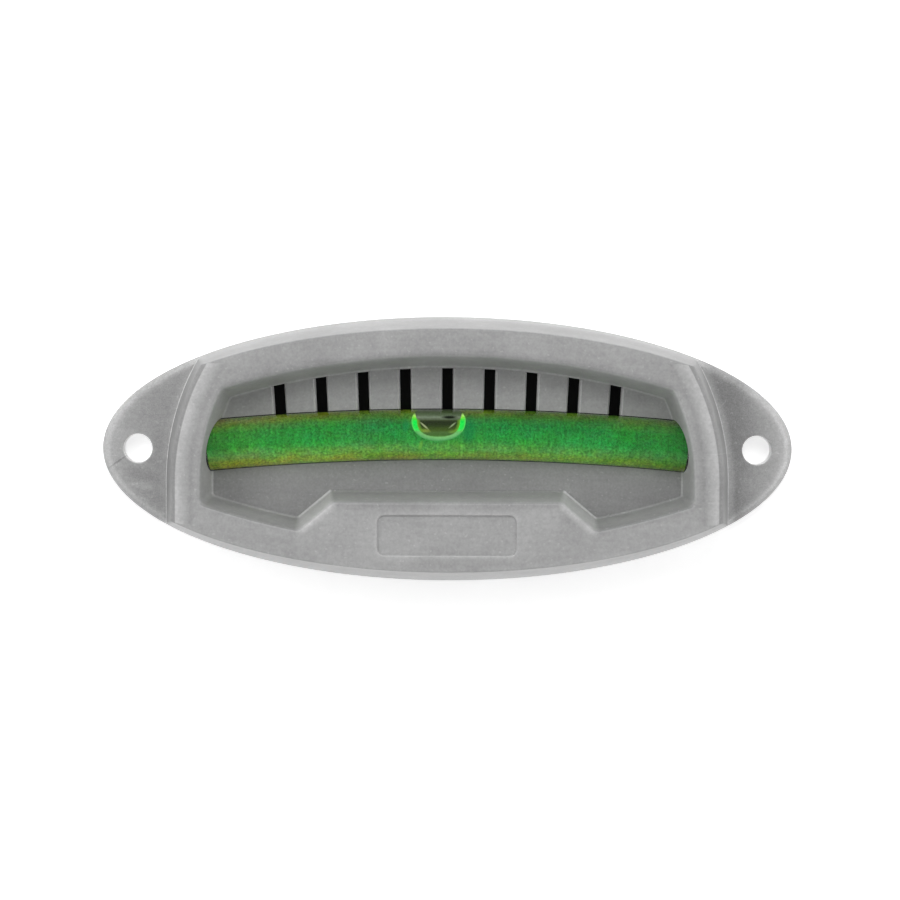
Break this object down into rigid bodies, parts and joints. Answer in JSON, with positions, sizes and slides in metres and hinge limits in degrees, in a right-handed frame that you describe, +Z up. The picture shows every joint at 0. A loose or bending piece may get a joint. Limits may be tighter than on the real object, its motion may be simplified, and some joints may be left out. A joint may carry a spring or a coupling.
{
  "type": "bubble level",
  "caption": "Wall-mounted bubble level: lens-shaped drafted housing with two screw ears and a sunk tray, where a gently bent liquid vial lies under a fan of tick slots.",
  "frame": {"origin": "midway between the two screw holes, on the back plane", "axes": "+X to the right as seen from the front, +Y into the wall, +Z up; the face looks towards -Y"},
  "size_m": [0.132, 0.015, 0.0504],
  "materials": {
    "housing_plastic": "satin moulded grey with faint flow marks",
    "black_plastic": "black, matt",
    "vial_acrylic": "clear, polished",
    "plug_rubber": "black, matt",
    "vial_liquid": "clear green liquid",
    "air": "clear"
  },
  "bodies": {
    "level": {"housing": "housing_plastic", "back_cover": "black_plastic", "scale_backing": "black_plastic", "vial_tube": "vial_acrylic", "vial_plug_left": "plug_rubber", "vial_plug_right": "plug_rubber", "vial_liquid": "vial_liquid"},
    "bubble": {"air_bubble": "air"}
  },
  "joints": [
    {"name": "bubble_travel", "type": "hinge", "parent": "level", "child": "bubble", "pos_m": [0, -0.0073, -0.4556], "axis": [0, 1, 0], "range_deg": [-4.8, 5.2], "stiffness_Nm_per_rad": 0.0016, "springref_deg": 0.21, "deforming": ["vial_liquid"]}
  ]
}
